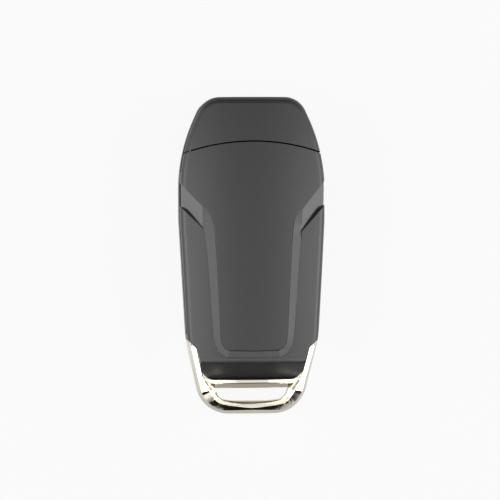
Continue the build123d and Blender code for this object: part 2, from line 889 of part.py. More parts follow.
# Uncut blade: tang, shoulders, bevelled tip and the milled track on both faces
tip_y = hub_y - blade_reach
shoulder = hub_y - neck_reach - face_gap
with BuildPart() as key_blade:
    with BuildSketch(Plane.XY.offset(blade_low)):
        with BuildLine():
            Polyline(
                (hub_x, hub_y - tang_start - face_gap),
                (hub_x + tang_width / 2, hub_y - tang_start - face_gap),
                (hub_x + tang_width / 2, shoulder),
                (hub_x + blade_width / 2, shoulder),
                (hub_x + blade_width / 2, tip_y + tip_length),
                (hub_x + tip_flat / 2, tip_y),
                (hub_x, tip_y),
            )
            mirror(about=Plane.YZ.offset(hub_x))
        make_face()
    extrude(amount=blade_thickness)
    track_length = neck_reach + track_margin - blade_reach + tip_length
    for face_z, way in ((blade_low, 1), (blade_low + blade_thickness, -1)):
        with BuildSketch(Plane.XY.offset(face_z)):
            with Locations((hub_x, (shoulder - track_margin + tip_y + tip_length) / 2)):
                SlotOverall(-track_length, track_width, rotation=90)
        extrude(amount=way * track_depth, mode=Mode.SUBTRACT)
    with Locations((hub_x, hub_y - pin_reach, blade_low + blade_thickness)):
        Hole(pin_radius, depth=blade_thickness)
save(key_blade.part, "key_blade")

with BuildPart() as blade_pin:
    with BuildSketch(Plane.XY.offset(neck_low)):
        with Locations((hub_x, hub_y - pin_reach)):
            Circle(pin_radius - face_gap / 2)
    extrude(amount=neck_thickness)
save(blade_pin.part, "blade_pin")

with BuildPart() as thrust_washer:
    with BuildSketch(Plane.XY.offset(washer_z)):
        with Locations((hub_x, hub_y)):
            Circle(bridge_radius)
        with Locations((hub_x, hub_y)):
            Circle(journal_radius + face_gap * 2, mode=Mode.SUBTRACT)
    extrude(amount=washer_thickness)
save(thrust_washer.part, "thrust_washer")

# Release button: dished cap, skirt, retaining flange and the flatted post that drives the hub
with BuildPart() as release_button:
    with BuildSketch(Plane.XY.offset(button_face_z)):
        with Locations((hub_x, hub_y)):
            Circle(button_radius)
    extrude(amount=hub_ring_top - button_travel - run_gap - button_face_z)
    with BuildSketch(Plane.XY.offset(flange_z)):
        with Locations((hub_x, hub_y)):
            Circle(button_flange)
    extrude(amount=flange_thickness)
    with BuildSketch(Plane.XY.offset(flange_z)):
        with Locations((hub_x, hub_y)):
            Circle(button_radius - button_skirt)
    extrude(amount=far, mode=Mode.SUBTRACT)
    with BuildSketch(Plane.XY.offset(button_face_z + dish_depth * 2)):
        with Locations((hub_x, hub_y)):
            Circle(post_radius)
            Rectangle(far, 2 * post_flat, mode=Mode.INTERSECT)
    extrude(amount=hub_high - lug_thickness / 2 - button_travel - run_gap - button_face_z - dish_depth * 2)
    with Locations((hub_x, hub_y, button_face_z + dish_depth - dish_radius)):
        Sphere(dish_radius, mode=Mode.SUBTRACT)
save(release_button.part, "release_button")

with BuildPart() as release_ring:
    with BuildSketch(Plane.XY.offset(button_face_z)):
        with Locations((hub_x, hub_y)):
            Circle(trim_outer)
        with Locations((hub_x, hub_y)):
            Circle(trim_inner, mode=Mode.SUBTRACT)
    extrude(amount=trim_depth - button_face_z)
    chamfer(release_ring.faces().sort_by(Axis.Z)[0].edges(), key_edge_radius / 2)
save(release_ring.part, "release_ring")

spring_low = flange_z + wire_radius + face_gap
spring_height = hub_low - spring_low - face_gap
with BuildPart() as flip_spring:
    with BuildLine() as coil:
        Helix(
            pitch=spring_height / spring_turns,
            height=spring_height,
            radius=spring_radius,
            center=(hub_x, hub_y, spring_low),
        )
    with BuildSketch(Plane(origin=coil.line @ 0, z_dir=coil.line % 0)):
        Circle(wire_radius)
    sweep(path=coil.line, is_frenet=True)
save(flip_spring.part, "flip_spring")

# Key-ring loop: arms along the body, a bar with a D-shaped slot and two screw lugs
whole_plan = fob_plan()
loop_plan = loop_zone(loop_gap)
loop_axis_z = loop_rear_z[0][1] - loop_crown_radius
loop_plane = Plane(origin=(0, 0, loop_axis_z), x_dir=(0, 1, 0), z_dir=(-1, 0, 0))
with BuildPart() as loop_crown:
    with BuildSketch(loop_plane):
        with BuildLine():
            Polyline(
                (loop_rear_z[0][0], 0),
                *[(y, z - loop_axis_z) for y, z in loop_rear_z],
                (loop_rear_z[-1][0], 0),
                close=True,
            )
        make_face()
    revolve(axis=Axis((0, 0, loop_axis_z), (0, 1, 0)))


def strap_row(share):
    """Chamfer width, facet width and facet fall at a share of the way along the strap."""
    for low, high in zip(strap_rows, strap_rows[1:]):
        if share <= high[0]:
            eased = (1 - cos(pi * (share - low[0]) / (high[0] - low[0]))) / 2
            return [a + (b - a) * eased for a, b in zip(low[1:], high[1:])]


def loop_height(spot):
    """Height of the loop's crown over a place in the plan."""
    for high, low in zip(loop_rear_z, loop_rear_z[1:]):
        if spot.Y >= low[0]:
            along = low[1] + (high[1] - low[1]) * (spot.Y - low[0]) / (high[0] - low[0])
            return loop_axis_z + sqrt((along - loop_axis_z) ** 2 - spot.X**2)


with BuildLine() as strap_edge:
    FilletPolyline(
        (case_half, waist_y),
        (arm_half, arm_y),
        (tail_half, tail_y),
        (0, tail_y),
        radius=[arm_radius, tail_radius],
    )
strap_run = strap_edge.wires()[0]
strap_start = (waist_y - strap_start_y) / strap_run.length
with BuildPart() as strap_facets:
    for station in range(strap_count + 1):
        share = station / strap_count
        rim, facet, fall = strap_row(share)
        place = strap_start + (1 - strap_start) * share
        inward = Vector(0, 0, -1).cross(strap_run % place)
        spot = strap_run @ place
        facet_z = loop_height(spot + inward * rim) - fall
        facet_rise = (loop_height(spot + inward * (rim + facet)) - facet_z) / facet
        with BuildSketch(Plane(origin=spot, x_dir=inward, z_dir=inward.cross(Vector(0, 0, 1)))):
            with BuildLine():
                Polyline(
                    (-side_wall, -top_z),
                    (strap_reach, -top_z),
                    (strap_reach, facet_z + (strap_reach - rim) * facet_rise),
                    (rim, facet_z),
                    (-side_wall, facet_z - (rim + side_wall) * strap_rim_rise),
                    close=True,
                )
            make_face()
    loft(ruled=True)
    mirror(about=Plane.YZ)
    with BuildSketch():
        with Locations((0, bar_y)):
            Rectangle(arm_foot_x + ring_slot_top_half, 2 * (bar_y - ring_slot_top_y))
    extrude(amount=top_z)

with BuildSketch() as ring_slot:
    with BuildLine():
        FilletPolyline(
            (0, ring_slot_top_y),
            (ring_slot_top_half, ring_slot_top_y),
            (ring_slot_bottom_half, ring_slot_bottom_y),
            (0, ring_slot_bottom_y),
            radius=[ring_slot_corner, ring_slot_radius],
        )
        mirror(about=Plane.YZ)
    make_face()

slot_shape = ring_slot.sketch
with BuildPart() as slot_bevel:
    with BuildSketch(Plane.XY.offset(ring_slot_bevel_z)):
        add(slot_shape)
    with BuildSketch(Plane.XY.offset(loop_rear_z[1][1])):
        add(slot_shape)
        offset(amount=ring_slot_bevel, kind=Kind.INTERSECTION)
    loft(ruled=True)

with BuildPart() as keyring_loop:
    with BuildSketch(Plane.XY.offset(loop_front_z)):
        add(loop_plan)
        add(whole_plan, mode=Mode.INTERSECT)
    extrude(amount=top_z)
    add(loop_crown.part, mode=Mode.INTERSECT)
    add(strap_facets.part, mode=Mode.INTERSECT)
    with BuildSketch():
        add(slot_shape)
    extrude(amount=top_z, mode=Mode.SUBTRACT)
    add(slot_bevel.part, mode=Mode.SUBTRACT)
    with BuildSketch(Plane.XY.offset(loop_lug_z)):
        with Locations((-loop_lug_x, bar_y - side_wall), (loop_lug_x, bar_y - side_wall)):
            Rectangle(
                2 * loop_lug_half,
                loop_lug_y + loop_lug_half - bar_y + side_wall,
                align=(Align.CENTER, Align.MIN),
            )
    extrude(amount=loop_lug_thickness)
    with BuildSketch(Plane.XY.offset(loop_lug_z)):
        with Locations(loop_screw_places):
            Circle(screw_radius + face_gap)
    extrude(amount=loop_lug_thickness, mode=Mode.SUBTRACT)
save(keyring_loop.part, "keyring_loop")

# Screws
frame_seat_z = frame_z + lug_thickness
loop_seat_z = loop_lug_z + loop_lug_thickness
save(screws(frame_screw_places, frame_seat_z, frame_seat_z - front_wall), "frame_screws")
save(screws(loop_screw_places, loop_seat_z, loop_seat_z - front_wall), "loop_screws")
save(screws(head_screw_places, tab_z + lug_thickness, tab_z / 2), "head_screw")
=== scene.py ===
# key fob shell: finishes for the CAD nodes, the pieces made here, and the studio round them
import math

import bmesh
import bpy
import numpy as np
from mathutils import Matrix, Vector


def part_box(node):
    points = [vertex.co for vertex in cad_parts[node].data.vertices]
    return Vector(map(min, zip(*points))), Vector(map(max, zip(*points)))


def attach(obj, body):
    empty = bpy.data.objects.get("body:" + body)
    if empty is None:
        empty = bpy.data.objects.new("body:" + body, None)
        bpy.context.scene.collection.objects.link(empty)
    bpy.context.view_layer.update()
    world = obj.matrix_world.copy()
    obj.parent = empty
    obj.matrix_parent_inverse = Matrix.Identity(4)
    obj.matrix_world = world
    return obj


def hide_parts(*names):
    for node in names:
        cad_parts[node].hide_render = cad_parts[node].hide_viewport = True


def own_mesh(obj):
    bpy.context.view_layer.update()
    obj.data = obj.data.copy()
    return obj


mm = 0.001
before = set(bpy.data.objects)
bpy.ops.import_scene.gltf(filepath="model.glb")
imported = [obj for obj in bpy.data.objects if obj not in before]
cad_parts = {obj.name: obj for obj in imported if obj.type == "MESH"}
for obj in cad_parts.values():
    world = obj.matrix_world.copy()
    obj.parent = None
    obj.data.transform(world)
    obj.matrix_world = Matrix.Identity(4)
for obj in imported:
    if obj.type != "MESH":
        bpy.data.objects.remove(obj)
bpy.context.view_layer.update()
print("stage: frame loaded with", len(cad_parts), "nodes")


def srgb(text):
    # hex text to linear: below 0.04045 the curve is a straight line, above it a power of 2.4
    parts = np.array([int(text[i:i + 2], 16) for i in (1, 3, 5)]) / 255
    linear = np.where(parts <= 0.04045, parts / 12.92, ((parts + 0.055) / 1.055) ** 2.4)
    return (*linear.tolist(), 1.0)


def toned(colour, share):
    # a linear colour made lighter or darker by a share
    return (*(min(1.0, part * share) for part in colour[:3]), 1.0)


def addNode(tree, kind, inputs=None, **settings):
    # one node: settings are its properties; each input is a plain value, the socket that feeds it,
    # or a node that feeds it from its first output
    made = tree.nodes.new("ShaderNode" + kind)
    for key, value in settings.items():
        setattr(made, key, value)
    for key, value in (inputs or {}).items():
        if isinstance(value, bpy.types.Node):
            value = value.outputs[0]
        if isinstance(value, bpy.types.NodeSocket):
            tree.links.new(value, made.inputs[key])
        else:
            made.inputs[key].default_value = value
    return made


def newMaterial(name):
    # an empty material, its tree and its Object coordinates
    material = bpy.data.materials.new(name)
    material.use_nodes = True
    tree = material.node_tree
    tree.nodes.clear()
    return material, tree, addNode(tree, "TexCoord").outputs["Object"]


def grainBump(tree, place, values):
    # noise with one grain every spacing and its bump, over corners that the shading rounds by edge
    noise = addNode(
        tree, "TexNoise", {"Vector": place, "Scale": 1 / values["grain"], "Detail": 3.0, "Roughness": 0.6}
    )
    bump = {"Height": noise, "Distance": values["depth"]}
    if values["edge"]:
        bump["Normal"] = addNode(tree, "Bevel", {"Radius": values["edge"]}, samples=4)
    return noise, addNode(tree, "Bump", bump)


# black plastic: the real grain is about 0.1 mm and is drawn coarser, so that it shows
absPlastic = {
    "colour": "#272727", "pale": 1.35, "paleFrom": (0.35, 0.65), "roughness": 0.37, "ior": 1.54,
    "grain": 0.33 * mm, "depth": 0.012 * mm, "edge": 0.12 * mm,
}
nylon = dict(absPlastic, colour="#202021", roughness=0.62, grain=0.6 * mm, depth=0.01 * mm, edge=0.1 * mm)

# parting seam between head and rear cover: the middle of its arc, half its width, and the painted shade in
# it, near black and without gloss, where the gap lies in shadow
seamShade = {
    "y": 29.5 * mm, "radius": 54.85 * mm, "half": 0.18 * mm, "colour": "#060606", "gloss": (0.5, 0.0),
}

# chevron facets on the rear cover, in plan: where each starts, and the height there and the rise of its two
# edges; near the lower edge, where the mould's insert meets the side, the facet is painted paler: painted
# light where it would lie in shade
facetFinish = {
    "sides": [
        {"side": -1, "inner": 13.1 * mm, "upper": (12.75 * mm, 1.09), "lower": (7.25 * mm, 1.0)},
        {"side": 1, "inner": 12.1 * mm, "upper": (11.4 * mm, 1.22), "lower": (5.9 * mm, 1.09)},
    ],
    "roughness": 0.3, "paintedLightFoot": 1.0 * mm, "paintedLightColour": "#6a6a6a",
}


def seamMask(tree, place, values):
    # 1 within half a width of the seam's arc, in plan
    centre = (0.0, values["y"] - values["radius"], 0.0)
    plan = addNode(tree, "VectorMath", {0: place, 1: (1.0, 1.0, 0.0)}, operation="MULTIPLY")
    away = addNode(tree, "VectorMath", {0: plan, 1: centre}, operation="DISTANCE").outputs["Value"]
    return addNode(tree, "Math", {0: away, 1: values["radius"], 2: values["half"]}, operation="COMPARE")


def facetMasks(tree, place, values):
    # 1 beyond a facet's inner end and between its two edges, and the same fading out above the lower edge:
    # the mask for the painted light at the foot
    x, y = addNode(tree, "SeparateXYZ", {0: place}).outputs[:2]
    masks, paintedLightFeet = [], []
    for plan in values["sides"]:
        out = addNode(tree, "Math", {0: x, 1: plan["side"], 2: -plan["inner"]}, operation="MULTIPLY_ADD")
        beyond = addNode(tree, "Math", {0: out, 1: 0.0}, operation="GREATER_THAN")
        upper, lower = [
            addNode(tree, "Math", {0: out, 1: rise, 2: level}, operation="MULTIPLY_ADD")
            for level, rise in (plan["upper"], plan["lower"])
        ]
        below = addNode(tree, "Math", {0: y, 1: upper}, operation="LESS_THAN")
        above = addNode(tree, "Math", {0: y, 1: lower}, operation="GREATER_THAN")
        between = addNode(tree, "Math", {0: below, 1: above}, operation="MULTIPLY")
        masks.append(addNode(tree, "Math", {0: beyond, 1: between}, operation="MULTIPLY"))
        height = addNode(tree, "Math", {0: y, 1: lower}, operation="SUBTRACT")
        fade = addNode(
            tree, "MapRange", {"Value": height, "From Max": values["paintedLightFoot"], "To Min": 1.0, "To Max": 0.0}
        )
        paintedLightFeet.append(addNode(tree, "Math", {0: masks[-1], 1: fade}, operation="MULTIPLY"))
    return [
        addNode(tree, "Math", {0: left, 1: right}, operation="ADD", use_clamp=True)
        for left, right in (masks, paintedLightFeet)
    ]


def sparkTexturedAbs(name, values, seam=None, facets=None):
    # black ABS from a spark-eroded mould: even dark grey, a fine matt grain and soft edges
    # in a colour Mix, input 0 is the share, 6 and 7 are the colours, and output 2 is the result
    material, tree, place = newMaterial(name)
    grain, normal = grainBump(tree, place, values)
    base = srgb(values["colour"])
    tops = addNode(tree, "MapRange", {
        "Value": grain, "From Min": values["paleFrom"][0], "From Max": values["paleFrom"][1],
    })
    colours = {0: tops, 6: base, 7: toned(base, values["pale"])}
    look = {
        "Base Color": addNode(tree, "Mix", colours, data_type="RGBA").outputs[2],
        "Roughness": values["roughness"], "IOR": values["ior"], "Normal": normal,
    }
    if seam:
        # painted shade: along the seam's arc the plastic is painted near black and loses its gloss, as
        # shade in the gap
        shade = seamMask(tree, place, seam)
        colours = {0: shade, 6: look["Base Color"], 7: srgb(seam["colour"])}
        look["Base Color"] = addNode(tree, "Mix", colours, data_type="RGBA").outputs[2]
        look["Specular IOR Level"] = addNode(
            tree, "MapRange", {"Value": shade, "To Min": seam["gloss"][0], "To Max": seam["gloss"][1]}
        )
    if facets:
        # facets are the polished part of the mould: the same plastic, smoother
        mask, paintedLightFoot = facetMasks(tree, place, facets)
        # painted light: the foot above each facet's lower edge is painted paler, as though lit, where it
        # lies in shade
        colours = {0: paintedLightFoot, 6: look["Base Color"], 7: srgb(facets["paintedLightColour"])}
        look["Base Color"] = addNode(tree, "Mix", colours, data_type="RGBA").outputs[2]
        look["Roughness"] = addNode(
            tree, "MapRange", {"Value": mask, "To Min": values["roughness"], "To Max": facets["roughness"]}
        )
    addNode(tree, "OutputMaterial", {"Surface": addNode(tree, "BsdfPrincipled", look)})
    return material


nickelFinish = {
    "colour": "#d8d3c6", "roughness": (0.063, 0.126), "haze": 0.9 * mm,
    "ripple": 2.2 * mm, "depth": 0.004 * mm, "edge": 0.08 * mm,
}


def nickelPlate(name, values):
    # bright nickel over cast zinc: a warm mirror with a faint ripple left by polishing
    material, tree, place = newMaterial(name)
    ripple = addNode(tree, "TexNoise", {"Vector": place, "Scale": 1 / values["ripple"], "Detail": 1.0})
    rounded = addNode(tree, "Bevel", {"Radius": values["edge"]}, samples=6)
    bump = addNode(tree, "Bump", {"Height": ripple, "Distance": values["depth"], "Normal": rounded})
    haze = addNode(tree, "TexNoise", {"Vector": place, "Scale": 1 / values["haze"], "Detail": 4.0})
    low, high = values["roughness"]
    rough = addNode(tree, "MapRange", {"Value": haze, "To Min": low, "To Max": high})
    surface = addNode(tree, "BsdfPrincipled", {
        "Base Color": srgb(values["colour"]), "Metallic": 1.0, "Roughness": rough, "Normal": bump,
    })
    addNode(tree, "OutputMaterial", {"Surface": surface})
    return material


# worked metal: tool lines are finer than 0.25 mm and are drawn that far apart, so that they show;
# stretch is small along the lines, and alike all round where the metal is cast or tumbled
metalLines = {
    "spacing": 0.25 * mm, "depth": 0.003 * mm, "edge": 0.1 * mm, "spread": (0.7, 1.5), "grease": "#1a1917",
}
bladeFinish = {"colour": "#c9c5bb", "roughness": 0.28, "stretch": (0.03, 1.0, 1.0)}
hubFinish = {"colour": "#a3a29f", "roughness": 0.36, "stretch": (0.6, 0.6, 0.6), "greasedAbove": 10.9 * mm}
fastenerFinish = {"colour": "#b9bab8", "roughness": 0.3, "stretch": (0.6, 0.6, 0.6)}


def workedMetal(name, values, lines):
    # bare or zinc plated metal: a dull mirror broken up by the lines that the tool or the mould left
    material, tree, place = newMaterial(name)
    turned = addNode(tree, "Mapping", {"Vector": place, "Scale": values["stretch"]})
    streaks = addNode(tree, "TexNoise", {"Vector": turned, "Scale": 1 / lines["spacing"], "Detail": 3.0})
    low, high = [values["roughness"] * share for share in lines["spread"]]
    rough = addNode(tree, "MapRange", {"Value": streaks, "To Min": low, "To Max": high})
    rounded = addNode(tree, "Bevel", {"Radius": lines["edge"]}, samples=4)
    bump = addNode(tree, "Bump", {"Height": streaks, "Distance": lines["depth"], "Normal": rounded})
    colour = srgb(values["colour"])
    if "greasedAbove" in values:
        # black grease on the bearing faces at the top of the hub
        height = addNode(tree, "SeparateXYZ", {0: place}).outputs[2]
        greased = addNode(tree, "Math", {0: height, 1: values["greasedAbove"]}, operation="GREATER_THAN")
        film = {0: greased, 6: colour, 7: srgb(lines["grease"])}
        colour = addNode(tree, "Mix", film, data_type="RGBA").outputs[2]
    surface = addNode(tree, "BsdfPrincipled", {
        "Base Color": colour, "Metallic": 1.0, "Roughness": rough, "Normal": bump,
    })
    addNode(tree, "OutputMaterial", {"Surface": surface})
    return material


rubberFinish = {
    "colour": "#1b1b1c", "roughness": (0.55, 0.75), "ior": 1.43,
    "grain": 0.5 * mm, "depth": 0.01 * mm, "edge": 0.15 * mm,
}
keyFinish = {
    "colour": "#333335", "roughness": (0.32, 0.44), "ior": 1.56,
    "grain": 0.6 * mm, "depth": 0.004 * mm, "edge": 0.2 * mm,
}


def softSheen(name, values):
    # moulded silicone is dull with a slightly greasy sheen; keys in lacquered polycarbonate are satin
    # and smoother than the case; both have soft corners
    material, tree, place = newMaterial(name)
    grain, normal = grainBump(tree, place, values)
    low, high = values["roughness"]
    rough = addNode(tree, "MapRange", {"Value": grain, "To Min": low, "To Max": high})
    surface = addNode(tree, "BsdfPrincipled", {
        "Base Color": srgb(values["colour"]), "Roughness": rough, "IOR": values["ior"], "Normal": normal,
    })
    addNode(tree, "OutputMaterial", {"Surface": surface})
    return material


lacquerFinish = {"colour": "#d6d6d2", "thin": 0.82, "mottle": 0.3 * mm, "roughness": 0.55}


def printedLacquer(name, values):
    # signs in pad-printed lacquer: pale and dull, a little thin in places
    material, tree, place = newMaterial(name)
    mottle = addNode(tree, "TexNoise", {"Vector": place, "Scale": 1 / values["mottle"], "Detail": 2.0})
    base = srgb(values["colour"])
    colours = {0: mottle, 6: toned(base, values["thin"]), 7: base}
    mottled = addNode(tree, "Mix", colours, data_type="RGBA").outputs[2]
    surface = addNode(tree, "BsdfPrincipled", {"Base Color": mottled, "Roughness": values["roughness"]})
    addNode(tree, "OutputMaterial", {"Surface": surface})
    return material


caseAbs = sparkTexturedAbs("sparkTexturedAbs", absPlastic)
headAbs = sparkTexturedAbs("sparkTexturedAbsAtSeam", absPlastic, seamShade)
coverAbs = sparkTexturedAbs("sparkTexturedAbsWithPolishedFacets", absPlastic, seamShade, facetFinish)
frameNylon = sparkTexturedAbs("mouldedNylon", nylon)
nickel = nickelPlate("brightNickelPlate", nickelFinish)
bladeMetal = workedMetal("milledNickelSilver", bladeFinish, metalLines)
hubMetal = workedMetal("castZinc", hubFinish, metalLines)
fastenerSteel = workedMetal("zincPlatedSteel", fastenerFinish, metalLines)
rubber = softSheen("siliconeRubber", rubberFinish)
keyPlastic = softSheen("satinPolycarbonate", keyFinish)
signLacquer = printedLacquer("padPrintedLacquer", lacquerFinish)

finishes = {
    "front_case": caseAbs, "head_cover": headAbs, "rear_cover": coverAbs, "mid_frame": frameNylon,
    "release_ring": nickel, "release_button": nickel,
    "key_blade": bladeMetal, "blade_carrier": hubMetal,
    "blade_pin": fastenerSteel, "thrust_washer": fastenerSteel,
    "frame_screws": fastenerSteel, "loop_screws": fastenerSteel, "head_screw": fastenerSteel,
    "keypad_membrane": rubber, "bay_seal": rubber,
    "lock_button": keyPlastic, "unlock_button": keyPlastic,
    "trunk_button": keyPlastic, "panic_button": keyPlastic,
}
for nodeName, finish in finishes.items():
    for slot in bpy.data.objects[nodeName].material_slots:
        slot.material = finish
print("stage: finishes set on", len(finishes), "nodes")


sharpAngle = 35.0  # degrees: edges of new pieces that turn more than this stay sharp
mergeWithin = 0.002 * mm
nearZero = 1e-9


def newPiece(name, points, faces, material, body, slotName):
    # a mesh object at the origin, with its place in its points, riding on a body
    mesh = bpy.data.meshes.new(name)
    mesh.from_pydata(np.asarray(points).reshape(-1, 3).tolist(), [], faces)
    mesh.validate()
    mesh.materials.append(material)
    mesh.shade_smooth()
    mesh.set_sharp_from_angle(angle=math.radians(sharpAngle))
    piece = bpy.data.objects.new(name, mesh)
    bpy.context.collection.objects.link(piece)
    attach(piece, body)
    return piece


def turnOutwards(piece):
    # merges doubles, then makes every closed shell face outwards
    tools = bmesh.new()
    tools.from_mesh(piece.data)
    bmesh.ops.remove_doubles(tools, verts=tools.verts, dist=mergeWithin)
    bmesh.ops.recalc_face_normals(tools, faces=tools.faces)
    tools.to_mesh(piece.data)
    tools.free()


def gridFaces(rows, columns, wrapRows=False, wrapColumns=False):
    # four-sided faces of a grid whose points are numbered row by row
    i, j = np.meshgrid(
        np.arange(rows if wrapRows else rows - 1), np.arange(columns if wrapColumns else columns - 1),
        indexing="ij",
    )
    nextI, nextJ = (i + 1) % rows, (j + 1) % columns
    quads = [i * columns + j, i * columns + nextJ, nextI * columns + nextJ, nextI * columns + j]
    return np.stack(quads, axis=-1).reshape(-1, 4).tolist()


def tubeFaces(rows, columns):
    # a closed section carried along an open path, with a cap at both ends
    caps = [list(range(columns)), list(range((rows - 1) * columns, rows * columns))[::-1]]
    return gridFaces(rows, columns, wrapColumns=True) + caps


def joinShells(shells):
    # points of all shells in one list, and their faces numbered on from shell to shell
    starts = np.cumsum([0] + [points.size // 3 for points, own in shells]).tolist()
    faces = [[start + k for k in face] for start, (points, own) in zip(starts, shells) for face in own]
    return np.concatenate([points.reshape(-1, 3) for points, own in shells]), faces


def roundedPath(corners, radii, arcSteps=40):
    # straight runs joined by arcs: an arc touches both runs at radius / tan(half the corner's angle)
    corners = np.array(corners, float)
    runs = [corners[:1]]
    for corner, before, after, radius in zip(corners[1:-1], corners[:-2], corners[2:], radii):
        back = (before - corner) / np.linalg.norm(before - corner)
        ahead = (after - corner) / np.linalg.norm(after - corner)
        half = np.arccos(back @ ahead) / 2
        centre = corner + (back + ahead) / np.linalg.norm(back + ahead) * radius / np.sin(half)
        first = corner + back * radius / np.tan(half) - centre
        last = corner + ahead * radius / np.tan(half) - centre
        sweep = np.arctan2(first[0] * last[1] - first[1] * last[0], first @ last)
        turn = np.arctan2(first[1], first[0]) + sweep * np.linspace(0, 1, arcSteps)
        runs.append(centre + radius * np.stack([np.cos(turn), np.sin(turn)], axis=1))
    runs.append(corners[-1:])
    return np.concatenate(runs)


def evenPoints(path, count):
    # points along a path, evenly spaced by length
    lengths = np.concatenate([[0], np.cumsum(np.linalg.norm(np.diff(path, axis=0), axis=1))])
    spots = np.linspace(0, lengths[-1], count)
    return np.stack([np.interp(spots, lengths, path[:, k]) for k in (0, 1)], axis=1)


def sideways(points, closed=False):
    # unit normals in the plan, turned to the left of the way along the points
    if closed:
        way = np.roll(points, -1, axis=0) - np.roll(points, 1, axis=0)
    else:
        way = np.gradient(points, axis=0)
    way /= np.linalg.norm(way, axis=1)[:, None]
    return np.stack([-way[:, 1], way[:, 0]], axis=1)


def reachTo(points, ways, path):
    # how far from each point, along its way, the nearest crossing with the path lies
    start, run = path[:-1][None], np.diff(path, axis=0)[None]
    gap, ways = start - points[:, None], ways[:, None]
    cross = ways[..., 0] * run[..., 1] - ways[..., 1] * run[..., 0]
    cross = np.where(np.abs(cross) < nearZero, nearZero, cross)
    far = (gap[..., 0] * run[..., 1] - gap[..., 1] * run[..., 0]) / cross
    share = (gap[..., 0] * ways[..., 1] - gap[..., 1] * ways[..., 0]) / cross
    return np.where((share >= 0) & (share <= 1) & (far > 0), far, np.inf).min(axis=1)


def eased(share, places, values):
    # a cubic through the values that never overshoots: its slope at a place is the harmonic mean of the two
    # slopes beside it, or level where they differ in sign and at both ends
    places, values = np.array(places), np.array(values)
    steps = np.diff(places)
    slopes = np.diff(values) / steps
    both = slopes[1:] * slopes[:-1]
    inner = np.where(both > 0, 2 * both / np.where(both > 0, slopes[1:] + slopes[:-1], 1.0), 0.0)
    slopes = np.concatenate([[0.0], inner, [0.0]])
    k = np.clip(np.searchsorted(places, share, side="right") - 1, 0, len(steps) - 1)
    t = (share - places[k]) / steps[k]
    rise = t**2 * (3 - 2 * t)
    bend = steps[k] * t * (1 - t) * (slopes[k] * (1 - t) - slopes[k + 1] * t)
    return values[k] + (values[k + 1] - values[k]) * rise + bend


# metal loop, in millimetres: half outlines from a tip to the middle, then the rear surface
loopShape = {
    "outline": [(18.7, 9.5), (17.0, -21.8), (12.8, -41.0), (0.0, -41.0)],
    "outlineRadii": [30.0, 8.5],
    "start": (-19.5, -21.6),  # how far down the way begins, and its pointed tip
    "inside": [
        (17.4, -21.25), (14.55, -23.65), (12.72, -31.3), (9.6, -34.35),
        (8.6, -37.2), (4.6, -37.7), (0.0, -37.7),
    ],
    "insideRadii": [0.9, 0.6, 0.6, 2.8, 20.0],
    "rearY": [-46.0, -38.8, -32.3, -18.0],
    "rearZ": [5.9, 8.0, 8.9, 15.2],
    "axis": -44.8,
    "front": 2.0,
    # at each share of the way: outer rim, facet and how far it falls, inner bevel and its drop
    "share": [0.0, 0.1, 0.35, 0.5, 0.54, 0.73, 0.86, 1.0],
    "rim": [0.7, 0.7, 0.8, 0.85, 0.85, 0.8, 0.95, 1.05],
    "facet": [1.0, 1.1, 1.2, 1.85, 1.9, 1.75, 1.15, 0.6],
    "fall": [0.1, 0.12, 0.2, 0.4, 1.35, 1.4, 0.85, 0.4],
    "bevel": [0.1, 0.15, 0.3, 1.2, 1.2, 1.0, 0.85, 0.7],
    "bevelDrop": [0.1, 0.15, 0.4, 1.2, 1.3, 1.5, 1.5, 1.5],
    "rimRise": 2.3,
    "width": (0.05, 6.0),  # least and most
    "lip": 0.3,  # chamfer round the front face, and how high it rises
    "lipRise": 0.35,
    "crest": 0.15,  # flat left between facet and bevel, and the least facet
    "leastFacet": 0.2,
    "count": 120,
    "fineCount": 4000,
    "edge": 0.1,
    "edgeSegments": 3,
    "edgeAngle": 14,
    "flatWeight": 100,
}


def loopTop(values, x, y):
    # rear surface: straight runs along the loop, turned about a lengthwise axis far below it
    along = np.interp(y, values["rearY"], values["rearZ"])
    return values["axis"] + np.sqrt((along - values["axis"]) ** 2 - x**2)


def mirroredLoop(half):
    # a half from a tip to the middle becomes one closed shell with its two ends capped
    grid = np.concatenate([half[:-1] * np.array([-1, 1, 1]), half[::-1]])
    return grid * mm, tubeFaces(*grid.shape[:2])


